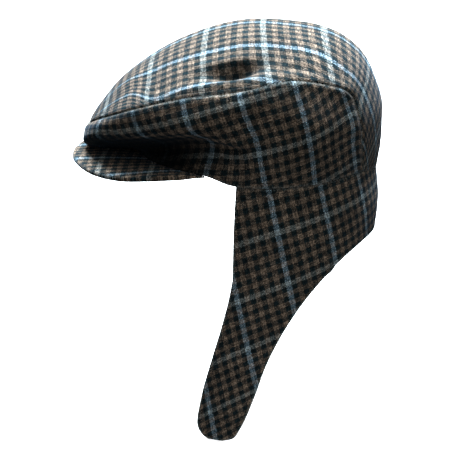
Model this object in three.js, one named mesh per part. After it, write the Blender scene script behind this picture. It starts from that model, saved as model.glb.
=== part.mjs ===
// A tweed hat with a forward crown, a stiff peak and a neck flap that ends in two long lappets.
// Millimetres, +Z up. The wearer looks along -Y and the left ear is on +X.
// The origin is the middle of the head opening, at the height of the rim over the ears.
import * as THREE from "three";

// Walls and the gaps between pieces.
const CLOTH = 2.2; // wall of the crown: tweed with its backing
const FLAP_CLOTH = 3; // wall of the flap: two layers of tweed
const SEAM_GAP = 0.16; // each panel stops this short of a seam's line
const JOINT_GAP = 0.35; // air between the rim and what is sewn under it

// The oval of the head opening.
const HEAD_HALF_WIDTH = 83; // outside of the rim, over the ears
const HEAD_FRONT = 106; // outside of the rim, over the forehead
const HEAD_BACK = 100; // outside of the rim, at the nape

// Height of the rim's lower edge round the head; 0 is the middle of the forehead, 180 the nape.
const RIM_HEIGHTS = [
  { angle: 0, height: 9.5 },
  { angle: 40, height: 8.5 },
  { angle: 66, height: 6.2 },
  { angle: 79, height: -0.2 },
  { angle: 94, height: -1.2 },
  { angle: 118, height: 0.2 },
  { angle: 144, height: 3.4 },
  { angle: 162, height: 1 },
  { angle: 180, height: -1 },
];

// Sections of a side panel from the middle of the front to the seam at the back, left side.
// Each runs down from the seam over the bulge to the lip, turns in to the tuck and ends at the rim.
const SIDE_SECTIONS = [
  { seam: [0, -151, 32], bulge: [0, -155, 23], lip: [0, -152, 12.5], tuck: [0, -121, 12.5], rimAngle: 0 },
  { seam: [38, -136, 44], bulge: [40, -141, 35], lip: [39, -137, 25], tuck: [33, -104, 16.5], rimAngle: 20 },
  { seam: [66.5, -103.7, 59], bulge: [70, -101, 49], lip: [69, -95, 38], tuck: [51, -78, 25], rimAngle: 39.5 },
  { seam: [83, -60.7, 72.6], bulge: [88, -57, 57], lip: [87, -51, 45], tuck: [77, -37, 34], rimAngle: 66 },
  { seam: [89, -15, 79.7], bulge: [93, -9, 61], lip: [92, -1, 42], tuck: [87, 3, 21], rimAngle: 94 },
  { seam: [86, 28, 89], bulge: [91, 38, 58], lip: [88, 42, 39], tuck: [81, 45, 19], rimAngle: 118 },
  { seam: [70, 66, 80], bulge: [67, 76, 51], lip: [64, 77, 35], tuck: [58, 79, 18], rimAngle: 144 },
  { seam: [61, 76, 71], bulge: [57, 83, 48], lip: [53, 85, 33], tuck: [48, 86, 17], rimAngle: 151 },
];

// Where the columns of a side panel and the rows of the middle panel stand along their seam.
const NOSE_REACH = 0.1; // the middle panel's front edge goes this far along the seam
const NOSE_FADE = 0.12; // and its curve is lost this much further along
const NOSE_STEPS = 8;
const SEAM_STEPS = 28;
const BACK_STEPS = 14;

// The middle panel's centre line, front to back, by where that section meets the side panel:
// edge 0 to 1 along the seam and then 1 to 2 down the back.
const TOP_SECTIONS = [
  { edge: 0.1, centreY: -151, centreZ: 32, arch: 2 },
  { edge: 0.143, centreY: -143, centreZ: 46, arch: 2 },
  { edge: 0.286, centreY: -117, centreZ: 75.5, arch: 2 },
  { edge: 0.4286, centreY: -73, centreZ: 104, arch: 2 },
  { edge: 0.571, centreY: -20, centreZ: 121, arch: 2 },
  { edge: 0.714, centreY: 33, centreZ: 119.8, arch: 2 },
  { edge: 0.786, centreY: 60.5, centreZ: 113, arch: 2 },
  { edge: 0.857, centreY: 78.5, centreZ: 101.5, arch: 2.1 },
  { edge: 0.93, centreY: 88.5, centreZ: 90, arch: 2.1 },
  { edge: 1, centreY: 94.5, centreZ: 78, arch: 2.2 },
  { edge: 1.25, centreY: 102, centreZ: 57, arch: 2.2 },
  { edge: 1.5, centreY: 103, centreZ: 37, arch: 2.1 },
  { edge: 1.75, centreY: 102.5, centreZ: 18, arch: 2 },
  { edge: 2, centreY: 100, centreZ: -1, arch: 2 },
];

// Shallow dents of the middle panel, the same on both sides: where they are, how far they go
// along and across, and how deep.
const DENTS = [
  { edge: 0.55, across: 0.78, along: 0.09, width: 0.12, depth: 3.2 },
  { edge: 0.3, across: 0.62, along: 0.07, width: 0.1, depth: 1.2 },
];

// The flap by depth: the front and back edges of its lappet, and the oval that it hangs on.
const FLAP_LEVELS = [
  { z: 0, front: -17.5, back: 84, halfWidth: 82.3, halfLength: 99.3 },
  { z: -38, front: -19.5, back: 82, halfWidth: 80.5, halfLength: 102.3 },
  { z: -75, front: -20.5, back: 66, halfWidth: 78, halfLength: 100.5 },
  { z: -86, front: -21, back: 55.5, halfWidth: 77, halfLength: 100.5 },
  { z: -105, front: -24.5, back: 40, halfWidth: 75.5, halfLength: 101 },
  { z: -132, front: -31, back: 23.5, halfWidth: 73, halfLength: 101 },
  { z: -161, front: -39, back: 10, halfWidth: 71, halfLength: 101 },
  { z: -191, front: -47, back: 0, halfWidth: 68.5, halfLength: 101 },
  { z: -216, front: -52, back: -8.5, halfWidth: 66.5, halfLength: 101 },
  { z: -231, front: -53.5, back: -15, halfWidth: 65.5, halfLength: 101 },
  { z: -240, front: -49.5, back: -20.5, halfWidth: 65, halfLength: 101 },
  { z: -244, front: -44, back: -30.5, halfWidth: 65, halfLength: 101 },
];
const BAND_LEVELS = 2; // so many spans of the table are shared with the band round the neck
const NAPE_DEPTH = -57; // lower edge of the band at the nape
const BAND_CURVE = 3; // how quickly that edge falls towards the lappets
const RIGHT_LEAN = 0.07; // the right lappet hangs this much further back, per mm of depth

// The peak by the angle on the rim that it grows from: its outer edge, left side.
const PEAK_SECTIONS = [
  { rimAngle: 0, edge: [0, -165.5, 8] },
  { rimAngle: 15, edge: [32, -160, 7.4] },
  { rimAngle: 27, edge: [56, -142, 3.8] },
  { rimAngle: 38, edge: [69.5, -117.5, 2.5] },
  { rimAngle: 48, edge: [76, -90.5, 4.7] },
  { rimAngle: 58, edge: [77.5, -63.5, 7] },
  { rimAngle: 66, edge: [77.2, -44.5, 6] },
];
const PEAK_THICKNESS = 5;
const PEAK_BOW = 0.021; // the peak is bowed up by this share of its width, front to back
const PEAK_INSET = 0.2; // its root lies this far inside the rim's outer face
const PEAK_SLIMMING = 0.45; // where it is narrow it is at most this share of its width thick

// The point inside the crown that its walls are measured towards, and how much of a flap point's
// distance to the ears' line counts in the way through the flap.
const CORE = { y: -8, yShare: 0.55, z: 50 };
const NECK_SHARE = 0.75;
const MOST_SLANT = 0.62; // a way through that slants more than this is lengthened no further

// Grid of each piece.
const TOP_ACROSS = 2 * NOSE_STEPS;
const FLAP_GRID = { band: 22, lappet: 8, perLevel: 3 };
const PEAK_GRID = { along: 32, out: 7, edge: 4 };

const TWEED = new THREE.MeshStandardMaterial({ color: 0x4a4340, roughness: 0.95, metalness: 0 });
const TWEED_TOP = new THREE.MeshStandardMaterial({ color: 0x8d8a90, roughness: 0.95, metalness: 0 });
const TWEED_FLAP = new THREE.MeshStandardMaterial({ color: 0x3a3431, roughness: 0.95, metalness: 0 });
const TWEED_PEAK = new THREE.MeshStandardMaterial({ color: 0x55504d, roughness: 0.95, metalness: 0 });

const radians = THREE.MathUtils.degToRad;

// A smooth value at a place t (0 to 1) along equally spaced rows. Level makes the first row the
// middle of something symmetric, where the value neither rises nor falls.
function smooth(values, t, level = false) {
  const spans = values.length - 1;
  const at = Math.min(Math.max(t, 0), 1) * spans;
  const i = Math.min(Math.floor(at), spans - 1);
  const u = at - i;
  const b = values[i];
  const c = values[i + 1];
  const before = level ? c : 2 * b - c;
  const a = i > 0 ? values[i - 1] : before;
  const d = i + 2 <= spans ? values[i + 2] : 2 * c - b;
  return b + 0.5 * u * (c - a + u * (2 * a - 5 * b + 4 * c - d + u * (3 * (b - c) + d - a)));
}

// The same for points that start in the plane of symmetry, x = 0.
function smoothPoint(points, t, level = false) {
  const axis = (k) => smooth(points.map((p) => p[k]), t, level && k > 0);
  return new THREE.Vector3(axis(0), axis(1), axis(2));
}

// A smooth value of one column where the key column, which rises, has a given value.
function lookUp(rows, key, column, value) {
  const last = rows.length - 1;
  let i = 0;
  while (i < last - 1 && value > rows[i + 1][key]) i += 1;
  const slope = (k) => {
    const [from, to] = [rows[Math.max(k - 1, 0)], rows[Math.min(k + 1, last)]];
    return (to[column] - from[column]) / (to[key] - from[key]);
  };
  const [start, end] = [rows[i], rows[i + 1]];
  const span = end[key] - start[key];
  const u = Math.min(Math.max((value - start[key]) / span, 0), 1);
  const rise = end[column] - start[column];
  const bend = span * (1 - u) * slope(i) - span * u * slope(i + 1) + (2 * u - 1) * rise;
  return start[column] + u * rise + u * (1 - u) * bend;
}

// A point of the rim's lower edge, on its outer face, at an angle round the head.
function rimPoint(angle, inset = 0) {
  const a = radians(angle);
  const length = (Math.cos(a) > 0 ? HEAD_FRONT : HEAD_BACK) - inset;
  return new THREE.Vector3(
    (HEAD_HALF_WIDTH - inset) * Math.sin(a),
    -length * Math.cos(a),
    lookUp(RIM_HEIGHTS, "angle", "height", Math.abs(angle)),
  );
}

// The way through the wall from a point of the crown's outer face.
function towardsCore(point) {
  const y = CORE.y + CORE.yShare * (point.y - CORE.y);
  return new THREE.Vector3(0, y, CORE.z).sub(point).normalize();
}

// The way through the wall from a point of the flap's outer face.
function towardsNeck(point) {
  return new THREE.Vector3(-point.x, -NECK_SHARE * point.y, 0).normalize();
}

// A closed wall behind an open surface, given as points and triangles that face outwards.
function wall(points, triangles, thickness, through) {
  const normals = points.map(() => new THREE.Vector3());
  for (const [a, b, c] of triangles) {
    const face = points[b].clone().sub(points[a]).cross(points[c].clone().sub(points[a]));
    for (const k of [a, b, c]) normals[k].add(face);
  }
  const inner = points.map((p, k) => {
    const way = through(p);
    const square = Math.max(-way.dot(normals[k].normalize()), MOST_SLANT);
    return p.clone().addScaledVector(way, thickness / square);
  });
  const count = points.length;
  const faces = [...triangles];
  const edges = new Map();
  for (const [a, b, c] of triangles) {
    faces.push([a + count, c + count, b + count]);
    for (const [from, to] of [[a, b], [b, c], [c, a]]) edges.set(`${from},${to}`, [from, to]);
  }
  for (const [from, to] of edges.values()) {
    if (edges.has(`${to},${from}`)) continue;
    faces.push([to, from, from + count], [to, from + count, to + count]);
  }
  return solid([...points, ...inner], faces);
}

function solid(points, faces) {
  const geometry = new THREE.BufferGeometry();
  const coordinates = points.flatMap((p) => [p.x, p.y, p.z]);
  geometry.setAttribute("position", new THREE.Float32BufferAttribute(coordinates, 3));
  geometry.setIndex(faces.flat());
  geometry.computeVertexNormals();
  return geometry;
}

// Points and outward triangles of a grid whose rows and columns are numbered from 0.
function gridFaces(rows, columns, index) {
  const faces = [];
  for (let r = 0; r < rows; r += 1) {
    for (let c = 0; c < columns; c += 1) {
      const [a, b] = [index(r, c), index(r, c + 1)];
      const [d, e] = [index(r + 1, c), index(r + 1, c + 1)];
      faces.push([a, b, e], [a, e, d]);
    }
  }
  return faces;
}

function mirrored(points) {
  return points.map((p) => new THREE.Vector3(-p.x, p.y, p.z));
}

function flipped(faces) {
  return faces.map(([a, b, c]) => [a, c, b]);
}

// A point of the left side panel: along 0 to 1 from front to back, down 0 to 1 from seam to rim.
function sidePoint(along, down) {
  const ring = (name) => smoothPoint(SIDE_SECTIONS.map((row) => row[name]), along, true);
  const rim = rimPoint(smooth(SIDE_SECTIONS.map((row) => row.rimAngle), along));
  const profile = [ring("seam"), ring("bulge"), ring("lip"), ring("tuck"), rim];
  return smoothPoint(profile.map((p) => [p.x, p.y, p.z]), down);
}

// The middle panel's edge: along the seam from 0 to 1, then down the back from 1 to 2.
function topEdge(at) {
  return at <= 1 ? sidePoint(at, 0) : sidePoint(1, at - 1);
}

// A point of the middle panel on the section that meets the side panel at edge, across -1 to 1.
function topPoint(edge, across) {
  const column = (name) => lookUp(TOP_SECTIONS, "edge", name, edge);
  const side = Math.abs(across);
  const bow = side ** column("arch");
  const corner = topEdge(edge);
  const centreY = column("centreY");
  const centreZ = column("centreZ");
  const point = new THREE.Vector3(
    corner.x * across,
    centreY + (corner.y - centreY) * bow,
    centreZ + (corner.z - centreZ) * bow,
  );
  for (const dent of DENTS) {
    const far = ((edge - dent.edge) / dent.along) ** 2 + ((side - dent.across) / dent.width) ** 2;
    point.addScaledVector(towardsCore(point), dent.depth * Math.exp(-far));
  }
  return point;
}

// How far the front edge's place on the seam is from the first section, fading along the panel.
function noseShift(across, edge) {
  const nose = topEdge(NOSE_REACH * Math.abs(across));
  if (across < 0) nose.x *= -1;
  const fade = Math.max(0, 1 - (edge - NOSE_REACH) / NOSE_FADE) ** 2;
  return nose.sub(topPoint(NOSE_REACH, across)).multiplyScalar(fade);
}

// Moves a border point away from a seam, towards the next point of its grid.
function step(from, towards) {
  return from.addScaledVector(towards.clone().sub(from).normalize(), SEAM_GAP);
}

// The stations that both panels share: round the nose, then back along the seam.
function seamStations() {
  const stations = [];
  for (let k = 0; k < NOSE_STEPS; k += 1) stations.push((NOSE_REACH * k) / NOSE_STEPS);
  for (let k = 0; k <= SEAM_STEPS; k += 1)
    stations.push(NOSE_REACH + ((1 - NOSE_REACH) * k) / SEAM_STEPS);
  return stations;
}

function sidePanel() {
  const stations = seamStations();
  const last = stations.length - 1;
  const at = (r, c) => r * (last + 1) + c;
  const points = [];
  for (let r = 0; r <= BACK_STEPS; r += 1)
    for (const station of stations) points.push(sidePoint(station, r / BACK_STEPS));
  const inside = points.map((p) => p.clone());
  for (let c = 0; c <= last; c += 1) step(points[at(0, c)], inside[at(1, c)]);
  for (let r = 0; r <= BACK_STEPS; r += 1) {
    points[at(r, 0)].x += SEAM_GAP;
    step(points[at(r, last)], inside[at(r, last - 1)]);
  }
  return { points, faces: flipped(gridFaces(BACK_STEPS, last, at)) };
}

function topPanel() {
  const rows = seamStations().slice(NOSE_STEPS);
  for (let k = 1; k <= BACK_STEPS; k += 1) rows.push(1 + k / BACK_STEPS);
  const last = rows.length - 1;
  const at = (r, c) => r * (TOP_ACROSS + 1) + c;
  const points = [];
  for (const edge of rows) {
    for (let c = 0; c <= TOP_ACROSS; c += 1) {
      const across = (2 * c) / TOP_ACROSS - 1;
      points.push(topPoint(edge, across).add(noseShift(across, edge)));
    }
  }
  const inside = points.map((p) => p.clone());
  for (let c = 0; c <= TOP_ACROSS; c += 1) step(points[at(0, c)], inside[at(1, c)]);
  for (let r = 0; r <= last; r += 1) {
    step(points[at(r, 0)], inside[at(r, 1)]);
    step(points[at(r, TOP_ACROSS)], inside[at(r, TOP_ACROSS - 1)]);
  }
  return { points, faces: gridFaces(last, TOP_ACROSS, at) };
}

function flapLevel(share) {
  const column = (name) => smooth(FLAP_LEVELS.map((row) => row[name]), share);
  const halfLength = column("halfLength");
  const angleOf = (y) => THREE.MathUtils.radToDeg(Math.acos(-y / halfLength));
  return {
    z: column("z"),
    front: angleOf(column("front")),
    back: angleOf(column("back")),
    halfWidth: column("halfWidth"),
    halfLength,
  };
}

// How far the band's lower edge at an angle lies above the lappet's shoulder, where it starts.
function bandRise(angle, shoulder) {
  const toNape = Math.min((angle - shoulder) / (180 - shoulder), 1);
  return (NAPE_DEPTH - FLAP_LEVELS[BAND_LEVELS].z) * (1 - (1 - toNape) ** BAND_CURVE);
}

// Angles run from the front edge of the left lappet round the nape to that of the right one.
function flap() {
  const { band, lappet, perLevel } = FLAP_GRID;
  const rows = (FLAP_LEVELS.length - 1) * perLevel;
  const bandRows = BAND_LEVELS * perLevel;
  const last = 2 * lappet + band;
  const points = [];
  const numbers = new Map();
  for (let r = 0; r <= rows; r += 1) {
    const level = flapLevel(r / rows);
    const share = Math.min(r / bandRows, 1);
    for (let c = 0; c <= last; c += 1) {
      const fromFront = Math.min(c, last - c);
      const inBand = fromFront > lappet;
      if (inBand && r > bandRows) continue;
      const angle = inBand
        ? level.back + ((180 - level.back) * (fromFront - lappet)) / (band / 2)
        : level.front + ((level.back - level.front) * fromFront) / lappet;
      const turn = radians(angle);
      const point = new THREE.Vector3(
        level.halfWidth * Math.sin(turn) * (c > last / 2 ? -1 : 1),
        -level.halfLength * Math.cos(turn),
        level.z + (rimPoint(angle).z - JOINT_GAP) * (1 - share),
      );
      if (inBand) point.z += share * bandRise(angle, level.back);
      if (point.x < 0) point.y += RIGHT_LEAN * Math.max(0, FLAP_LEVELS[BAND_LEVELS].z - level.z);
      numbers.set(`${r},${c}`, points.length);
      points.push(point);
    }
  }
  const faces = [];
  for (let r = 0; r < rows; r += 1) {
    for (let c = 0; c < last; c += 1) {
      const place = (row, column) => numbers.get(`${row},${column}`);
      const [a, b, d, e] = [place(r, c), place(r, c + 1), place(r + 1, c), place(r + 1, c + 1)];
      if (d === undefined || e === undefined) continue;
      faces.push([a, e, b], [a, d, e]);
    }
  }
  return { points, faces };
}

// One section of the peak, as a closed loop from the rim over the top, round the edge and back.
function peakLoop(share) {
  const angles = PEAK_SECTIONS.map((row) => row.rimAngle);
  const side = Math.abs(share);
  const angle = smooth(angles, side);
  const root = rimPoint(angle, PEAK_INSET);
  root.z -= JOINT_GAP;
  const edge = smoothPoint(PEAK_SECTIONS.map((row) => row.edge), side, true);
  const out = edge.clone().sub(root);
  const length = out.length();
  const half = Math.min(PEAK_THICKNESS, length * PEAK_SLIMMING) / 2;
  const level = new THREE.Vector3(out.x, out.y, 0).normalize();
  const loop = [];
  const place = (distance, drop) => {
    const u = distance / length;
    const point = root.clone().addScaledVector(out, u);
    point.z += PEAK_BOW * length * 4 * u * (1 - u) - drop;
    return point;
  };
  const flat = length - half;
  for (let k = 0; k <= PEAK_GRID.out; k += 1) loop.push(place((flat * k) / PEAK_GRID.out, 0));
  for (let k = 1; k < PEAK_GRID.edge * 2; k += 1) {
    const turn = (Math.PI * k) / (PEAK_GRID.edge * 2);
    const point = place(flat, half * (1 - Math.cos(turn)));
    loop.push(point.addScaledVector(level, half * Math.sin(turn)));
  }
  for (let k = PEAK_GRID.out; k >= 0; k -= 1) loop.push(place((flat * k) / PEAK_GRID.out, 2 * half));
  if (share < 0) for (const p of loop) p.x *= -1;
  return loop;
}

function peak() {
  const loops = [];
  for (let k = 0; k <= PEAK_GRID.along; k += 1) loops.push(peakLoop((2 * k) / PEAK_GRID.along - 1));
  const size = loops[0].length;
  const at = (r, c) => r * size + (c % size);
  const faces = gridFaces(PEAK_GRID.along, size, at);
  for (let c = 1; c < size - 1; c += 1) {
    faces.push([at(0, 0), at(0, c + 1), at(0, c)]);
    faces.push([at(PEAK_GRID.along, 0), at(PEAK_GRID.along, c), at(PEAK_GRID.along, c + 1)]);
  }
  return { points: loops.flat(), faces };
}

function piece(name, geometry, material) {
  const mesh = new THREE.Mesh(geometry, material);
  mesh.name = name;
  return mesh;
}

const left = sidePanel();
const top = topPanel();
const flapGrid = flap();
const peakGrid = peak();

const hat = new THREE.Group();
hat.add(
  piece("crown_top", wall(top.points, top.faces, CLOTH, towardsCore), TWEED_TOP),
  piece("crown_side_left", wall(left.points, left.faces, CLOTH, towardsCore), TWEED),
  piece("crown_side_right", wall(mirrored(left.points), flipped(left.faces), CLOTH, towardsCore), TWEED),
  piece("peak", solid(peakGrid.points, peakGrid.faces), TWEED_PEAK),
  piece("ear_flap", wall(flapGrid.points, flapGrid.faces, FLAP_CLOTH, towardsNeck), TWEED_FLAP),
);

export default hat;
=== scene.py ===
# A tweed hat with a forward crown, a stiff peak and a neck flap that ends in two long lappets.
# The wearer looks along -Y and the left ear is on +X. The origin is the middle of the head opening.
import functools
import math

import bmesh
import bpy
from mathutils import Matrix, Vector
from mathutils.kdtree import KDTree


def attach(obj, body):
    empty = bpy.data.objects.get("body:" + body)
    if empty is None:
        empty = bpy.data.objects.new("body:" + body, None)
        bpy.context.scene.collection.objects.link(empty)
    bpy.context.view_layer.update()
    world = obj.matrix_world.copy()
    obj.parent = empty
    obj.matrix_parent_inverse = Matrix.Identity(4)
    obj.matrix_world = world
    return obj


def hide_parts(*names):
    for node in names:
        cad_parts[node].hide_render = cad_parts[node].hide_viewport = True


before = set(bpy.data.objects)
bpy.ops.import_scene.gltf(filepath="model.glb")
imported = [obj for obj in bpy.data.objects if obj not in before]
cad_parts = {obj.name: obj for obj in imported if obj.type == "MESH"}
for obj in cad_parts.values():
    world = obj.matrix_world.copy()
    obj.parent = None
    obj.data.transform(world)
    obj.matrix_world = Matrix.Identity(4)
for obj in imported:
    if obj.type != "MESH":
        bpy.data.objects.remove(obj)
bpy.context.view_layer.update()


# The room: a broad pale floor just under the tips of the lappets that sweeps up far away, and a dim
# surround, lighter above and behind. A wide soft lamp hangs over the hat, a weak one above the
# wearer's left, and a small one stands low beside the lappets. The floor glows by itself and
# lights nothing, so that it stays an even white.
FLOOR_HEIGHT = -0.2455
FLOOR_RADIUS = 6
SWEEP_RADIUS = 2
SWEEP_STEPS = 8
floor_mesh = bmesh.new()
bmesh.ops.create_circle(floor_mesh, cap_ends=True, segments=96, radius=FLOOR_RADIUS)
bmesh.ops.translate(floor_mesh, verts=floor_mesh.verts, vec=(0, 0, FLOOR_HEIGHT))
outer_ring = [edge for edge in floor_mesh.edges if edge.is_boundary]
for step in range(1, SWEEP_STEPS + 1):
    grown = bmesh.ops.extrude_edge_only(floor_mesh, edges=outer_ring)["geom"]
    outer_ring = [item for item in grown if isinstance(item, bmesh.types.BMEdge)]
    turn = math.pi / 2 * step / SWEEP_STEPS
    for vert in {vert for edge in outer_ring for vert in edge.verts}:
        outward = Vector((vert.co.x, vert.co.y, 0)).normalized()
        vert.co = outward * (FLOOR_RADIUS + SWEEP_RADIUS * math.sin(turn))
        vert.co.z = FLOOR_HEIGHT + SWEEP_RADIUS * (1 - math.cos(turn))
floor = bpy.data.objects.new("floor", bpy.data.meshes.new("floor"))
floor_mesh.to_mesh(floor.data)
floor_mesh.free()
bpy.context.collection.objects.link(floor)
floor.visible_diffuse = False
floor.visible_glossy = False
floor_paint = bpy.data.materials.new("floor_paint")
floor_paint.use_nodes = True
floor_finish = floor_paint.node_tree.nodes["Principled BSDF"].inputs
floor_finish["Base Color"].default_value = (0.92, 0.92, 0.92, 1)
floor_finish["Roughness"].default_value = 0.9
floor_finish["Emission Color"].default_value = (1, 1, 1, 1)
floor_finish["Emission Strength"].default_value = 0.85
floor.data.materials.append(floor_paint)

# The surround grows lighter towards this direction, above and behind the hat.
LIGHTER_SIDE = (0.1, 0.5, 0.85)
DIM_UP_TO, LIGHT_FROM = -0.45, 0.6
DIM_STRENGTH, LIGHT_STRENGTH = 0.004, 0.2
surround = bpy.data.worlds.new("surround")
bpy.context.scene.world = surround
surround.use_nodes = True
air = surround.node_tree
up_and_behind = air.nodes.new("ShaderNodeVectorMath")
up_and_behind.operation = "DOT_PRODUCT"
up_and_behind.inputs[1].default_value = LIGHTER_SIDE
air.links.new(air.nodes.new("ShaderNodeTexCoord").outputs["Generated"], up_and_behind.inputs[0])
dimming = air.nodes.new("ShaderNodeMapRange")
for socket, value in zip(dimming.inputs[1:], (DIM_UP_TO, LIGHT_FROM, DIM_STRENGTH, LIGHT_STRENGTH)):
    socket.default_value = value
air.links.new(up_and_behind.outputs["Value"], dimming.inputs[0])
air.links.new(dimming.outputs[0], air.nodes["Background"].inputs["Strength"])
air.nodes["Background"].inputs["Color"].default_value = (1, 0.99, 0.93, 1)


def broad_light(name, towards, softness, strength, colour):
    light = bpy.data.lights.new(name, "SUN")
    light.angle = math.radians(softness)
    light.energy = strength
    light.color = colour
    holder = bpy.data.objects.new(name, light)
    holder.rotation_euler = Vector(towards).to_track_quat("Z", "Y").to_euler()
    bpy.context.collection.objects.link(holder)


broad_light("light_over", towards=(-0.4, -0.02, 1), softness=40, strength=15.5, colour=(0.86, 0.95, 1))
broad_light("light_fill", towards=(0.36, 0.2, 1), softness=30, strength=0.55, colour=(1, 0.99, 0.94))

low_lamp = bpy.data.lights.new("light_low", "POINT")
low_lamp.energy = 0.42
low_lamp.shadow_soft_size = 0.08
low_light = bpy.data.objects.new("light_low", low_lamp)
low_light.location = (0.3, 0.0, -0.2)
bpy.context.collection.objects.link(low_light)

AIM = Vector((0, -0.028, -0.066))
CAMERA_DISTANCE = 1.15
CAMERA_BEARING = math.radians(4)
CAMERA_RISE = math.radians(19)
camera_data = bpy.data.cameras.new("camera")
camera_data.lens = 100.8
camera_data.sensor_width = 36
camera = bpy.data.objects.new("camera", camera_data)
towards_camera = Vector((
    math.cos(CAMERA_BEARING) * math.cos(CAMERA_RISE),
    math.sin(CAMERA_BEARING) * math.cos(CAMERA_RISE),
    math.sin(CAMERA_RISE),
))
camera.location = AIM + CAMERA_DISTANCE * towards_camera
camera.rotation_euler = (-towards_camera).to_track_quat("-Z", "Y").to_euler()
bpy.context.collection.objects.link(camera)
bpy.context.scene.camera = camera
bpy.context.scene.view_settings.view_transform = "Standard"


# The two side panels of the crown, mirror images cut from the same woollen tweed. Each runs from
# a short seam in the middle of the front to the seam behind the ear. It bulges, turns under in
# a lip and tucks back in to the rim, so that the front stands over the peak with a hollow below.
MM = 0.001
CLOTH = 2.2 * MM

# Sections from the middle of the front to the seam at the back, left side, in millimetres.
SIDE_SECTIONS = [
    dict(seam=(0, -151, 32), bulge=(0, -155, 23), lip=(0, -152, 12.5), tuck=(0, -121, 12.5), rim=0),
    dict(seam=(38, -136, 44), bulge=(40, -141, 35), lip=(39, -137, 25), tuck=(33, -104, 16.5), rim=20),
    dict(seam=(66.5, -103.7, 59), bulge=(70, -101, 49), lip=(69, -95, 38), tuck=(51, -78, 25), rim=39.5),
    dict(seam=(83, -60.7, 72.6), bulge=(88, -57, 57), lip=(87, -51, 45), tuck=(77, -37, 34), rim=66),
    dict(seam=(89, -15, 79.7), bulge=(93, -9, 61), lip=(92, -1, 42), tuck=(87, 3, 21), rim=94),
    dict(seam=(86, 28, 89), bulge=(91, 38, 58), lip=(88, 42, 39), tuck=(81, 45, 19), rim=118),
    dict(seam=(70, 66, 80), bulge=(67, 76, 51), lip=(64, 77, 35), tuck=(58, 79, 18), rim=144),
    dict(seam=(61, 76, 71), bulge=(57, 83, 48), lip=(53, 85, 33), tuck=(48, 86, 17), rim=151),
]

# Height of the rim's lower edge round the head; 0 is the middle of the forehead, 180 the nape.
RIM_HEIGHTS = [
    {"angle": 0, "height": 9.5},
    {"angle": 40, "height": 8.5},
    {"angle": 66, "height": 6.2},
    {"angle": 79, "height": -0.2},
    {"angle": 94, "height": -1.2},
    {"angle": 118, "height": 0.2},
    {"angle": 144, "height": 3.4},
    {"angle": 162, "height": 1},
    {"angle": 180, "height": -1},
]
HEAD_HALF_WIDTH = 83
HEAD_FRONT = 106
HEAD_BACK = 100


def smooth(values, t, level=False):
    """A smooth value at a place t (0 to 1) along equally spaced rows."""
    spans = len(values) - 1
    at = min(max(t, 0), 1) * spans
    i = min(int(at), spans - 1)
    u = at - i
    b, c = values[i], values[i + 1]
    a = values[i - 1] if i > 0 else (c if level else 2 * b - c)
    d = values[i + 2] if i + 2 <= spans else 2 * c - b
    return b + 0.5 * u * (c - a + u * (2 * a - 5 * b + 4 * c - d + u * (3 * (b - c) + d - a)))


def smooth_point(points, t, level=False):
    """The same for points that start in the plane of symmetry."""
    return Vector([smooth([p[k] for p in points], t, level and k > 0) for k in range(3)])


def look_up(rows, key, column, value):
    """A smooth value of one column where the key column, which rises, has a given value."""
    last = len(rows) - 1
    i = 0
    while i < last - 1 and value > rows[i + 1][key]:
        i += 1

    def slope(k):
        before, after = rows[max(k - 1, 0)], rows[min(k + 1, last)]
        return (after[column] - before[column]) / (after[key] - before[key])

    start, end = rows[i], rows[i + 1]
    span = end[key] - start[key]
    u = min(max((value - start[key]) / span, 0), 1)
    rise = end[column] - start[column]
    bend = span * (1 - u) * slope(i) - span * u * slope(i + 1) + (2 * u - 1) * rise
    return start[column] + u * rise + u * (1 - u) * bend


def rim_point(angle, inset=0):
    """A point of the rim's lower edge, on its outer face, at an angle round the head."""
    turn = math.radians(angle)
    length = (HEAD_FRONT if math.cos(turn) > 0 else HEAD_BACK) - inset
    return Vector((
        (HEAD_HALF_WIDTH - inset) * math.sin(turn),
        -length * math.cos(turn),
        look_up(RIM_HEIGHTS, "angle", "height", abs(angle)),
    ))


@functools.cache
def side_profile(along):
    """The five points of one section of the left side panel, from the seam down to the rim."""
    rings = [[row[name] for row in SIDE_SECTIONS] for name in ("seam", "bulge", "lip", "tuck")]
    profile = [smooth_point(ring, along, True) for ring in rings]
    profile.append(rim_point(smooth([row["rim"] for row in SIDE_SECTIONS], along)))
    return profile


def side_point(along, down):
    """A point of the left side panel: along 0 to 1 from front to back, down from seam to rim."""
    return smooth_point(side_profile(along), down)


def side_depth(along, down):
    """How far down the cloth of a section that point lies, in millimetres."""
    profile = side_profile(along)
    depth, left = 0, down * (len(profile) - 1)
    for upper, lower in zip(profile, profile[1:]):
        depth += (lower - upper).length * min(max(left, 0), 1)
        left -= 1
    return depth


def gathered(t, pull):
    """Spreads even steps from 0 to 1 so that they lie closer together at both ends."""
    return t - pull * math.sin(2 * math.pi * t) / (2 * math.pi)


def bell(distance, width):
    return math.exp(-((distance / width) ** 2))


def eased(value, low, high):
    share = min(max((value - low) / (high - low), 0), 1)
    return share * share * (3 - 2 * share)


# How the check lies on a side panel: a lengthwise line stands on each section, and the crosswise
# lines follow one that runs so far below the seam. Threads are counted in panes of the check.
SIDE_CLOTH = [
    {"pane": -0.1, "line": 10},
    {"pane": 0.85, "line": 13},
    {"pane": 2, "line": 17.5},
    {"pane": 3, "line": 16},
    {"pane": 4, "line": 8},
    {"pane": 5, "line": 3.5},
    {"pane": 6, "line": -23},
    {"pane": 6.3, "line": -32},
]
SIDE_PANE = 46


def side_thread(along, down):
    line = smooth([row["line"] for row in SIDE_CLOTH], along)
    return smooth([row["pane"] for row in SIDE_CLOTH], along), (line - side_depth(along, down)) / SIDE_PANE


SEAM_DIVE = {"depth": 1.2, "width": 1.2}
SEAM_ROLL = {"rise": 0.35, "inset": 4.5, "width": 2.5}


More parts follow.
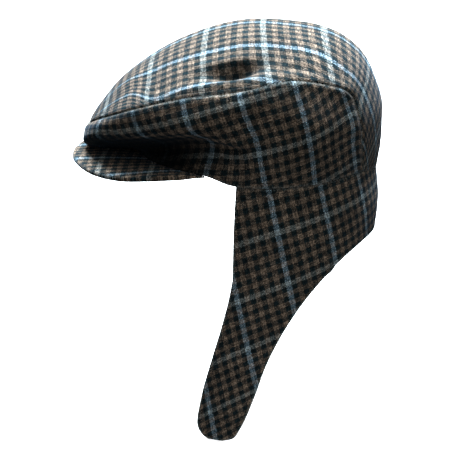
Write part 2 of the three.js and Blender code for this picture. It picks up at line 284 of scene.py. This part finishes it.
def seam_roll(distance):
    """Cloth dives into a seam and stands a little proud over the turned-in edge beside it."""
    roll = SEAM_ROLL["rise"] * bell(distance - SEAM_ROLL["inset"], SEAM_ROLL["width"])
    return roll - SEAM_DIVE["depth"] * bell(distance, SEAM_DIVE["width"])


def folds(table, first, second):
    """The rise of the cloth, in millimetres, where soft folds and dents cross a place on it."""
    return sum(
        row["rise"] * bell(first - row["at"], row["reach"]) * bell(second - row["level"], row["width"])
        for row in table
    )


# Folds of the side panel: at and reach count along it from 0 to 1, level and width are millimetres
# below the seam. The first one rests the front of the crown on the peak.
SIDE_FOLDS = [
    {"at": 0, "reach": 0.09, "level": 38, "width": 20, "rise": 2.5},
    {"at": 0.58, "reach": 0.07, "level": 11, "width": 6, "rise": 1.3},
    {"at": 0.5, "reach": 0.06, "level": 44, "width": 3.5, "rise": 1.6},
    {"at": 0.52, "reach": 0.07, "level": 51, "width": 2.5, "rise": -1.5},
    {"at": 0.48, "reach": 0.07, "level": 57, "width": 3, "rise": 1.2},
]

# How long the whole count along the panel would be, in millimetres, at the pace that it has near
# the front seam and near the back seam.
PACE_AT_FRONT = 270
PACE_AT_BACK = 90
FLAT_AT_RIM = 3


def side_relief(along, down):
    depth = side_depth(along, down)
    to_rim = side_depth(along, 1) - depth
    ends = seam_roll((1 - along) * PACE_AT_BACK) + seam_roll(along * PACE_AT_FRONT)
    return (seam_roll(depth) + ends + folds(SIDE_FOLDS, along, depth)) * eased(to_rim, 0, FLAT_AT_RIM)


# Where the cloth turns under the lip at the front it lies in deep shade, and its colour carries
# most of that shade. The share grows between two places down the panel, which lie lower towards
# the back, and fades out between two places along it.
SHADE_DOWN = (0.26, 0.38)
SHADE_SLOPE = 0.8
SHADE_ALONG = (0.3, 0.56)


def side_shade(along, down):
    return eased(down - SHADE_SLOPE * along, *SHADE_DOWN) * (1 - eased(along, *SHADE_ALONG))


def lay_edge_tape(mesh, edges):
    """Notes how far each place is from these edges and how far along them, in millimetres.

    The run starts at any one of the edges, which differs between runs of the script. A row of
    edges with open ends, such as the peak's, is measured only from there to one of its ends.
    """
    tape = mesh.loops.layers.uv.new("edge")
    start = next(iter(edges)).verts[0]
    measured, spot, run = {}, start, 0
    while spot not in measured:
        measured[spot] = run
        onward = [
            edge for edge in spot.link_edges
            if edge in edges and edge.other_vert(spot) not in measured
        ]
        if onward:
            run += onward[0].calc_length() / MM
            spot = onward[0].other_vert(spot)
    nearby = KDTree(len(measured))
    runs = list(measured.values())
    for k, vert in enumerate(measured):
        nearby.insert(vert.co, k)
    nearby.balance()
    found = {vert: nearby.find(vert.co) for vert in mesh.verts}
    for face in mesh.faces:
        for loop in face.loops:
            _, k, distance = found[loop.vert]
            loop[tape].uv = (runs[k], distance / MM)


def cloth_sheet(columns, rows, pull, place, thread, relief, shade):
    """One cut of cloth as a fine grid: shaped, given its thread directions, relief and painted shade."""
    mesh = bmesh.new()
    bmesh.ops.create_grid(mesh, x_segments=columns, y_segments=rows, size=1)
    threads = mesh.loops.layers.uv.new("cloth")
    shaded = mesh.verts.layers.float.new("deep_shade")
    spots = {}
    for vert in mesh.verts:
        across, up = (vert.co.x + 1) / 2, (vert.co.y + 1) / 2
        spots[vert] = (gathered(across, pull[0]), gathered(up, pull[1]))
        vert.co = place(*spots[vert]) * MM
    mesh.normal_update()
    rises = {vert: relief(*spots[vert]) * MM for vert in mesh.verts}
    for vert in mesh.verts:
        vert.co += vert.normal * rises[vert]
        vert[shaded] = shade(*spots[vert])
    for face in mesh.faces:
        face.smooth = True
        for loop in face.loops:
            loop[threads].uv = thread(*spots[loop.vert])
    lay_edge_tape(mesh, {edge for edge in mesh.edges if edge.is_boundary})
    return mesh


def finished(mesh, name, material, thickness, node):
    """Makes the mesh an object with a wall's thickness, in the place of its node."""
    piece = bpy.data.objects.new(name, bpy.data.meshes.new(name))
    mesh.to_mesh(piece.data)
    mesh.free()
    piece.data.materials.append(material)
    bpy.context.collection.objects.link(piece)
    if thickness:
        wall = piece.modifiers.new("wall", "SOLIDIFY")
        wall.thickness = thickness
        wall.offset = -1
    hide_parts(node)
    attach(piece, "root")
    return piece


# The yarns and the weave. Lengths are in panes of the check, except for the stitches and the worn
# strip, which are in millimetres.
CHECKS_IN_PANE = 5
THREADS_IN_PANE = 120
THREADS_IN_TWILL = 4
YARN_WANDER = 0.045
BROWN = (0.235, 0.181, 0.138, 1)
DARK = (0.010, 0.0205, 0.024, 1)
BLUE = (0.35, 0.52, 0.66, 1)
PALE = (0.36, 0.41, 0.41, 1)
DEEP_SHADE = (0.002, 0.003, 0.0025, 1)
MOST_SHADE = 0.93
DARK_SHARE = 0.3
STITCH_LENGTH = 3
STITCH_INSET = 4.5
STITCH_STRENGTH = 0.6
WORN_STRIP = 3


def woven_tweed(name):
    """A shepherd's check in soft brown and near-black, crossed by pale blue and pale grey lines."""
    cloth = bpy.data.materials.new(name)
    cloth.use_nodes = True
    nodes, links = cloth.node_tree.nodes, cloth.node_tree.links
    surface = nodes["Principled BSDF"]

    def put(socket, value):
        if isinstance(value, bpy.types.NodeSocket):
            links.new(value, socket)
        else:
            socket.default_value = value

    def calc(operation, *values):
        node = nodes.new("ShaderNodeMath")
        node.operation = operation
        for socket, value in zip(node.inputs, values):
            put(socket, value)
        return node.outputs[0]

    def speckle(across, along, detail):
        """A soft noise with so many spots to a pane each way."""
        spread = nodes.new("ShaderNodeMapping")
        spread.inputs["Scale"].default_value = (across, along, 1)
        links.new(threads.outputs["UV"], spread.inputs["Vector"])
        noise = nodes.new("ShaderNodeTexNoise")
        noise.noise_dimensions = "2D"
        noise.inputs["Scale"].default_value = 1
        noise.inputs["Detail"].default_value = detail
        links.new(spread.outputs["Vector"], noise.inputs["Vector"])
        return noise.outputs["Fac"]

    def ranged(value, between, gives):
        node = nodes.new("ShaderNodeMapRange")
        node.interpolation_type = "SMOOTHSTEP"
        for socket, entry in zip(node.inputs, (value, *between, *gives)):
            put(socket, entry)
        return node.outputs["Result"]

    def mixed(share, first, second, blend="MIX"):
        node = nodes.new("ShaderNodeMix")
        node.data_type = "RGBA"
        node.blend_type = blend
        put(node.inputs["Factor"], share)
        put(node.inputs[6], first)
        put(node.inputs[7], second)
        return node.outputs[2]

    def stripes(place, line):
        ramp = nodes.new("ShaderNodeValToRGB")
        ramp.color_ramp.interpolation = "CONSTANT"
        colours = [line, DARK] + [BROWN, DARK] * (CHECKS_IN_PANE - 1)
        stops = ramp.color_ramp.elements
        stops[0].color = colours[0]
        stops[1].position = 1 / len(colours)
        stops[1].color = colours[1]
        for k in range(2, len(colours)):
            stops.new(k / len(colours)).color = colours[k]
        links.new(calc("FRACT", calc("ADD", place, 0.5 / len(colours))), ramp.inputs[0])
        return ramp.outputs["Color"]

    threads = nodes.new("ShaderNodeUVMap")
    threads.uv_map = "cloth"
    split = nodes.new("ShaderNodeSeparateXYZ")
    links.new(threads.outputs["UV"], split.inputs[0])
    unevenness = speckle(across=40, along=40, detail=2)
    wander = calc("MULTIPLY", calc("SUBTRACT", unevenness, 0.5), YARN_WANDER)
    across = calc("ADD", split.outputs[0], wander)
    along = calc("ADD", split.outputs[1], wander)
    warp = stripes(across, BLUE)
    weft = stripes(along, PALE)

    steps = calc("MULTIPLY", calc("ADD", split.outputs[0], split.outputs[1]), THREADS_IN_PANE)
    rib = calc("PINGPONG", calc("DIVIDE", steps, THREADS_IN_TWILL), 0.5)
    warp_over = ranged(rib, between=(0.15, 0.35), gives=(0, 1))
    twill = mixed(warp_over, weft, warp)
    woven = mixed(DARK_SHARE, twill, mixed(1.0, weft, warp, "DARKEN"))

    warp_streaks = speckle(across=66, along=7, detail=3)
    weft_streaks = speckle(across=7, along=66, detail=3)
    streaks = calc("ADD", warp_streaks, weft_streaks)
    flecks = ranged(streaks, between=(0.7, 1.3), gives=(0.4, 1.65))
    tufts = ranged(speckle(across=34, along=34, detail=4), between=(0.3, 0.7), gives=(0.35, 1.65))
    blotches = ranged(speckle(across=2, along=2, detail=3), between=(0.3, 0.7), gives=(0.85, 1.12))
    shade = calc("MULTIPLY", calc("MULTIPLY", flecks, tufts), blotches)
    tone = nodes.new("ShaderNodeCombineColor")
    for socket in tone.inputs:
        links.new(shade, socket)
    heathered = mixed(1.0, woven, tone.outputs[0], "MULTIPLY")

    tape = nodes.new("ShaderNodeUVMap")
    tape.uv_map = "edge"
    measure = nodes.new("ShaderNodeSeparateXYZ")
    links.new(tape.outputs["UV"], measure.inputs[0])
    run, inset = measure.outputs[0], measure.outputs[1]
    beside = calc("ABSOLUTE", calc("SUBTRACT", inset, STITCH_INSET))
    pace = calc("PINGPONG", calc("DIVIDE", run, STITCH_LENGTH), 0.5)
    in_row = ranged(beside, between=(0.25, 0.7), gives=(1, 0))
    stitch = calc("MULTIPLY", in_row, ranged(pace, between=(0.12, 0.2), gives=(0, 1)))
    stitched = mixed(calc("MULTIPLY", stitch, STITCH_STRENGTH), heathered, DARK)
    near_edge = ranged(inset, between=(0.5, WORN_STRIP), gives=(1, 0))
    rubbed = calc("MULTIPLY", near_edge, ranged(tufts, between=(0.6, 1.4), gives=(0, 0.4)))
    worn = mixed(rubbed, stitched, PALE)
    # Painted shade: the attribute deep_shade draws the colour towards DEEP_SHADE under the lip at the
    # front and in the deepest dent.
    deep = nodes.new("ShaderNodeAttribute")
    deep.attribute_name = "deep_shade"
    shaded = mixed(calc("MULTIPLY", deep.outputs["Fac"], MOST_SHADE), worn, DEEP_SHADE)
    links.new(shaded, surface.inputs["Base Color"])

    relief = nodes.new("ShaderNodeBump")
    relief.inputs["Strength"].default_value = 0.7
    relief.inputs["Distance"].default_value = 0.0004
    links.new(calc("SUBTRACT", calc("ADD", rib, streaks), stitch), relief.inputs["Height"])
    links.new(relief.outputs["Normal"], surface.inputs["Normal"])
    surface.inputs["Roughness"].default_value = 0.92
    surface.inputs["Specular IOR Level"].default_value = 0.08
    surface.inputs["Sheen Weight"].default_value = 0.1
    surface.inputs["Sheen Roughness"].default_value = 0.5
    surface.inputs["Sheen Tint"].default_value = (0.35, 0.62, 1, 1)
    return cloth


tweed = woven_tweed("tweed")

for side, sign in (("left", 1), ("right", -1)):
    panel = cloth_sheet(
        columns=200,
        rows=76,
        pull=(0.75, 0.6),
        place=lambda along, up: side_point(along, 1 - up),
        thread=lambda along, up: side_thread(along, 1 - up),
        relief=lambda along, up: side_relief(along, 1 - up),
        shade=lambda along, up: side_shade(along, 1 - up),
    )
    if sign < 0:
        bmesh.ops.scale(panel, vec=(-1, 1, 1), verts=panel.verts)
        bmesh.ops.reverse_faces(panel, faces=panel.faces)
    piece = finished(panel, "side_panel_" + side, tweed, CLOTH, "crown_side_" + side)


# The middle panel of the crown, one cut of tweed from the nose over the top and down to the nape.
# It is sewn to both side panels and round the nose, and its centre line sits level on the head.
TOP_SECTIONS = [
    {"edge": 0.1, "y": -151, "z": 32, "arch": 2},
    {"edge": 0.143, "y": -143, "z": 46, "arch": 2},
    {"edge": 0.286, "y": -117, "z": 75.5, "arch": 2},
    {"edge": 0.4286, "y": -73, "z": 104, "arch": 2},
    {"edge": 0.571, "y": -20, "z": 121, "arch": 2},
    {"edge": 0.714, "y": 33, "z": 119.8, "arch": 2},
    {"edge": 0.786, "y": 60.5, "z": 113, "arch": 2},
    {"edge": 0.857, "y": 78.5, "z": 101.5, "arch": 2.1},
    {"edge": 0.93, "y": 88.5, "z": 90, "arch": 2.1},
    {"edge": 1, "y": 94.5, "z": 78, "arch": 2.2},
    {"edge": 1.25, "y": 102, "z": 57, "arch": 2.2},
    {"edge": 1.5, "y": 103, "z": 37, "arch": 2.1},
    {"edge": 1.75, "y": 102.5, "z": 18, "arch": 2},
    {"edge": 2, "y": 100, "z": -1, "arch": 2},
]
# Shallow dents, the same on both sides: where they are, how far they go each way, how deep.
DENTS = [
    {"edge": 0.55, "across": 0.78, "along": 0.09, "width": 0.12, "depth": 3.2},
    {"edge": 0.3, "across": 0.62, "along": 0.07, "width": 0.1, "depth": 1.2},
]
NOSE_REACH = 0.1
NOSE_FADE = 0.12
CORE = {"y": -8, "y_share": 0.55, "z": 50}

# How the check lies on the middle panel, in panes: across it the count starts beside the centre
# line and grows with the share of the half width (spread) and its cube (curl); lengthwise lines
# therefore draw together towards both ends. Crosswise the count falls off to the sides (sag).
TOP_CLOTH = [
    {"edge": 0.1, "spread": 3.03, "curl": 0, "count": -0.58, "sag": -0.3},
    {"edge": 0.143, "spread": 3.03, "curl": 0, "count": -0.4, "sag": -0.3},
    {"edge": 0.286, "spread": 3.03, "curl": 0, "count": 0.38, "sag": -0.3},
    {"edge": 0.353, "spread": 2.36, "curl": 0, "count": 0.87, "sag": -0.29},
    {"edge": 0.4286, "spread": 2.15, "curl": 0.31, "count": 1.46, "sag": -0.2},
    {"edge": 0.499, "spread": 2.05, "curl": 0.5, "count": 2, "sag": -0.13},
    {"edge": 0.571, "spread": 2.05, "curl": 0.55, "count": 2.57, "sag": 0},
    {"edge": 0.626, "spread": 2.05, "curl": 0.36, "count": 3, "sag": 0.16},
    {"edge": 0.68, "spread": 1.95, "curl": 0.25, "count": 3.42, "sag": 0.24},
    {"edge": 0.714, "spread": 1.9, "curl": 0.2, "count": 3.67, "sag": 0.3},
    {"edge": 0.76, "spread": 1.8, "curl": 0.2, "count": 4, "sag": 0.36},
    {"edge": 0.857, "spread": 1.36, "curl": 0.41, "count": 4.58, "sag": 0.42},
    {"edge": 1, "spread": 1.33, "curl": 0.44, "count": 5.24, "sag": 0.49},
    {"edge": 1.25, "spread": 1.44, "curl": 0.44, "count": 5.73, "sag": 0.67},
    {"edge": 1.5, "spread": 1.74, "curl": 0.46, "count": 6.18, "sag": 0.96},
    {"edge": 1.75, "spread": 2.05, "curl": 0.5, "count": 6.6, "sag": 0.96},
    {"edge": 2, "spread": 2.3, "curl": 0.5, "count": 7.02, "sag": 0.96},
]
BESIDE_CENTRE = 0.2


def towards_core(point):
    y = CORE["y"] + CORE["y_share"] * (point.y - CORE["y"])
    return (Vector((0, y, CORE["z"])) - point).normalized()


def top_edge(at):
    return side_point(at, 0) if at <= 1 else side_point(1, at - 1)


def top_point(edge, across):
    side = abs(across)
    bow = side ** look_up(TOP_SECTIONS, "edge", "arch", edge)
    corner = top_edge(edge)
    centre_y = look_up(TOP_SECTIONS, "edge", "y", edge)
    centre_z = look_up(TOP_SECTIONS, "edge", "z", edge)
    point = Vector((
        corner.x * across,
        centre_y + (corner.y - centre_y) * bow,
        centre_z + (corner.z - centre_z) * bow,
    ))
    for dent in DENTS:
        far = ((edge - dent["edge"]) / dent["along"]) ** 2 + ((side - dent["across"]) / dent["width"]) ** 2
        point += towards_core(point) * dent["depth"] * math.exp(-far)
    return point


def nose_shift(across, edge):
    nose = top_edge(NOSE_REACH * abs(across))
    if across < 0:
        nose.x *= -1
    fade = max(0, 1 - (edge - NOSE_REACH) / NOSE_FADE) ** 2
    return (nose - top_point(NOSE_REACH, across)) * fade


def top_spot(across, back):
    """The place across, from -1 to 1, and the place along the edge, for two shares from 0 to 1."""
    return 2 * across - 1, NOSE_REACH + (2 - NOSE_REACH) * back


def top_place(across, back):
    across, edge = top_spot(across, back)
    return top_point(edge, across) + nose_shift(across, edge)


def top_thread(across, back):
    across, edge = top_spot(across, back)
    lay = {name: look_up(TOP_CLOTH, "edge", name, edge) for name in ("spread", "curl", "count", "sag")}
    return (
        lay["spread"] * across + lay["curl"] * across ** 3 - BESIDE_CENTRE,
        lay["count"] - lay["sag"] * across ** 2,
    )


# Folds of the middle panel: at and reach count along its edge from front to back, level and width
# are shares of its half width, left side positive.
TOP_FOLDS = [
    {"at": 0.56, "reach": 0.06, "level": 0.81, "width": 0.058, "rise": -8.5},
    {"at": 0.53, "reach": 0.12, "level": 0.92, "width": 0.035, "rise": 2.4},
    {"at": 0.56, "reach": 0.06, "level": 0.70, "width": 0.05, "rise": 2.2},
    {"at": 0.72, "reach": 0.05, "level": 0.86, "width": 0.05, "rise": -1.6},
    {"at": 0.6, "reach": 0.07, "level": -0.8, "width": 0.08, "rise": -2.2},
    {"at": 0.6, "reach": 0.12, "level": -0.92, "width": 0.04, "rise": 1.2},
]

# Shade painted into the colour in the deepest dent, over the left ear, in the same columns; here the rise
# is its share.
TOP_SHADE = [{"at": 0.56, "reach": 0.06, "level": 0.8, "width": 0.06, "rise": 0.35}]
LEAST_HALF_WIDTH = 30
PACE_AT_NOSE = 300
PACE_AT_NAPE = 80


def top_relief(across, back):
    across, edge = top_spot(across, back)
    half = max(top_edge(edge).x, LEAST_HALF_WIDTH)
    to_nape = (2 - edge) * PACE_AT_NAPE
    rolled = seam_roll((1 - abs(across)) * half) + seam_roll((edge - NOSE_REACH) * PACE_AT_NOSE)
    return (rolled + folds(TOP_FOLDS, edge, across)) * eased(to_nape, 0, FLAT_AT_RIM)


def top_shade(across, back):
    across, edge = top_spot(across, back)
    return folds(TOP_SHADE, edge, across)


panel = cloth_sheet(
    columns=120,
    rows=200,
    pull=(0.75, 0.3),
    place=top_place,
    thread=top_thread,
    relief=top_relief,
    shade=top_shade,
)
piece = finished(panel, "middle_panel", tweed, CLOTH, "crown_top")


# The peak: a stiff board covered in tweed above and below, seamed round its front edge. It is sewn
# into the front of the rim and stands out under the crown.
PEAK_SECTIONS = [
    {"rim": 0, "edge": (0, -165.5, 8)},
    {"rim": 15, "edge": (32, -160, 7.4)},
    {"rim": 27, "edge": (56, -142, 3.8)},
    {"rim": 38, "edge": (69.5, -117.5, 2.5)},
    {"rim": 48, "edge": (76, -90.5, 4.7)},
    {"rim": 58, "edge": (77.5, -63.5, 7)},
    {"rim": 66, "edge": (77.2, -44.5, 6)},
]
PEAK_THICKNESS = 5
PEAK_BOW = 0.021
PEAK_INSET = 0.2
PEAK_SLIMMING = 0.45
PEAK_FACE = 0.4
JOINT_GAP = 0.35


def peak_point(across, round_it):
    """Across -1 to 1; round it 0 to 1 from the rim over the top, round the edge and back.

    The upper and the lower face each take the share PEAK_FACE of the way round.
    """
    side = abs(across)
    root = rim_point(smooth([row["rim"] for row in PEAK_SECTIONS], side), PEAK_INSET)
    root.z -= JOINT_GAP
    edge = smooth_point([row["edge"] for row in PEAK_SECTIONS], side, True)
    out = edge - root
    half = min(PEAK_THICKNESS, out.length * PEAK_SLIMMING) / 2
    flat = out.length - half
    level = Vector((out.x, out.y, 0)).normalized()
    turn = math.pi * min(max((round_it - PEAK_FACE) / (1 - 2 * PEAK_FACE), 0), 1)
    share = min(min(round_it, 1 - round_it) / PEAK_FACE, 1)
    u = share * flat / out.length
    point = root + out * u
    point.z += PEAK_BOW * out.length * 4 * u * (1 - u) - half * (1 - math.cos(turn))
    point += level * half * math.sin(turn)
    if across < 0:
        point.x *= -1
    return point


def peak_place(across, back):
    return peak_point(2 * across - 1, back)


# The check runs front to back on the peak: a line lies 34 mm beside the middle, and the cloth is
# drawn in a little more and more towards the side. Both counts are panes for each millimetre.
PEAK_CLOTH = {"across": 0.0225, "drawn": 9e-5, "line": 34, "along": 0.022, "front": -135}


def peak_thread(across, back):
    point = peak_place(across, back)
    past_edge = back - 0.5
    round_edge = PEAK_THICKNESS * past_edge if abs(past_edge) < 0.5 - PEAK_FACE else 0
    line, drawn = PEAK_CLOTH["line"], PEAK_CLOTH["drawn"]
    return (
        PEAK_CLOTH["across"] * (point.x - line) + drawn * (point.x ** 2 - line ** 2),
        PEAK_CLOTH["along"] * (point.y - PEAK_CLOTH["front"] - round_edge),
    )


board = bmesh.new()
COLUMNS, ROWS = 120, 60
bmesh.ops.create_grid(board, x_segments=COLUMNS, y_segments=ROWS, size=1)
board_threads = board.loops.layers.uv.new("cloth")
board_spots = {}
for vert in board.verts:
    board_spots[vert] = ((vert.co.x + 1) / 2, (vert.co.y + 1) / 2)
    vert.co = peak_place(*board_spots[vert]) * MM
for face in board.faces:
    face.smooth = True
    for loop in face.loops:
        loop[board_threads].uv = peak_thread(*board_spots[loop.vert])
half_step = 0.5 / ROWS
board_front = {vert for vert, (_, back) in board_spots.items() if abs(back - 0.5) < half_step}
lay_edge_tape(board, {edge for edge in board.edges if board_front.issuperset(edge.verts)})
bmesh.ops.holes_fill(board, edges=[edge for edge in board.edges if edge.is_boundary])
bmesh.ops.recalc_face_normals(board, faces=board.faces)
piece = finished(board, "peak_cover", tweed, 0, "peak")


# The neck flap: two layers of tweed seamed round their edge, sewn under the rim from before the
# ears round the back. A band covers the nape and each side runs down into a long lappet.
FLAP_LEVELS = [
    {"z": 0, "front": -17.5, "back": 84, "half_width": 82.3, "half_length": 99.3},
    {"z": -38, "front": -19.5, "back": 82, "half_width": 80.5, "half_length": 102.3},
    {"z": -75, "front": -20.5, "back": 66, "half_width": 78, "half_length": 100.5},
    {"z": -86, "front": -21, "back": 55.5, "half_width": 77, "half_length": 100.5},
    {"z": -105, "front": -24.5, "back": 40, "half_width": 75.5, "half_length": 101},
    {"z": -132, "front": -31, "back": 23.5, "half_width": 73, "half_length": 101},
    {"z": -161, "front": -39, "back": 10, "half_width": 71, "half_length": 101},
    {"z": -191, "front": -47, "back": 0, "half_width": 68.5, "half_length": 101},
    {"z": -216, "front": -52, "back": -8.5, "half_width": 66.5, "half_length": 101},
    {"z": -231, "front": -53.5, "back": -15, "half_width": 65.5, "half_length": 101},
    {"z": -240, "front": -49.5, "back": -20.5, "half_width": 65, "half_length": 101},
    {"z": -244, "front": -44, "back": -30.5, "half_width": 65, "half_length": 101},
]
FLAP_CLOTH = 3 * MM
BAND_LEVELS = 2
NAPE_DEPTH = -57
BAND_CURVE = 3
BAND_GAP = 0.06
RIGHT_LEAN = 0.07


def flap_level(share):
    level = {name: smooth([row[name] for row in FLAP_LEVELS], share) for name in FLAP_LEVELS[0]}
    for name in ("front", "back"):
        level[name] = math.degrees(math.acos(-level[name] / level["half_length"]))
    return level


def flap_point(level, angle, share, right):
    turn = math.radians(angle)
    point = Vector((
        level["half_width"] * math.sin(turn) * (-1 if right else 1),
        -level["half_length"] * math.cos(turn),
        level["z"] + (rim_point(angle).z - BAND_GAP) * (1 - share),
    ))
    if angle > level["back"]:
        to_nape = min((angle - level["back"]) / (180 - level["back"]), 1)
        point.z += share * (NAPE_DEPTH - FLAP_LEVELS[BAND_LEVELS]["z"]) * (1 - (1 - to_nape) ** BAND_CURVE)
    if right:
        point.y += RIGHT_LEAN * max(0, FLAP_LEVELS[BAND_LEVELS]["z"] - level["z"])
    return point


# How the check lies on the flap, in panes: its threads are turned against the rim and bow a little.
FLAP_CLOTH_LAY = {
    "across": dict(start=1.805, round=0.0267, up=0.0043, twist=3.3e-5, bow=-1.3e-5, droop=0),
    "along": dict(start=3.816, round=-0.0058, up=0.017, twist=3.7e-5, bow=1.4e-5, droop=-1.65e-5),
}
FLAP_OVAL = {"half_width": 78, "half_length": 101, "radius": 90}


def flap_thread(point):
    """Counted round the oval that the flap hangs on, in millimetres from the ear, and by depth."""
    turn = math.atan2(point.y / FLAP_OVAL["half_length"], abs(point.x) / FLAP_OVAL["half_width"])
    round_head = FLAP_OVAL["radius"] * turn
    return [
        lay["start"] + lay["round"] * round_head + lay["up"] * point.z
        + lay["twist"] * round_head * point.z + lay["bow"] * round_head ** 2 + lay["droop"] * point.z ** 2
        for lay in FLAP_CLOTH_LAY.values()
    ]


FLAP_ROWS = 132
BAND_ROWS = FLAP_ROWS * BAND_LEVELS // (len(FLAP_LEVELS) - 1)
LAPPET_COLUMNS = 44
BAND_COLUMNS = 92
FLAP_COLUMNS = 2 * LAPPET_COLUMNS + BAND_COLUMNS
cut = bmesh.new()
bmesh.ops.create_grid(cut, x_segments=FLAP_COLUMNS, y_segments=FLAP_ROWS, size=1)
cut_threads = cut.loops.layers.uv.new("cloth")
spare = []
for vert in cut.verts:
    column = round((vert.co.x + 1) / 2 * FLAP_COLUMNS)
    row = round((1 - vert.co.y) / 2 * FLAP_ROWS)
    from_front = min(column, FLAP_COLUMNS - column)
    in_band = from_front > LAPPET_COLUMNS
    if in_band and row > BAND_ROWS:
        spare.append(vert)
        continue
    level = flap_level(row / FLAP_ROWS)
    share = min(row / BAND_ROWS, 1)
    if in_band:
        step = (from_front - LAPPET_COLUMNS) / (BAND_COLUMNS / 2)
        angle = level["back"] + (180 - level["back"]) * step
    else:
        angle = level["front"] + (level["back"] - level["front"]) * from_front / LAPPET_COLUMNS
    vert.co = flap_point(level, angle, share, column > FLAP_COLUMNS / 2) * MM
bmesh.ops.delete(cut, geom=spare, context="VERTS")
cut.normal_update()
for face in cut.faces:
    face.smooth = True
    for loop in face.loops:
        loop[cut_threads].uv = flap_thread(loop.vert.co / MM)
lay_edge_tape(cut, {edge for edge in cut.edges if edge.is_boundary})
piece = finished(cut, "neck_flap", tweed, FLAP_CLOTH, "ear_flap")
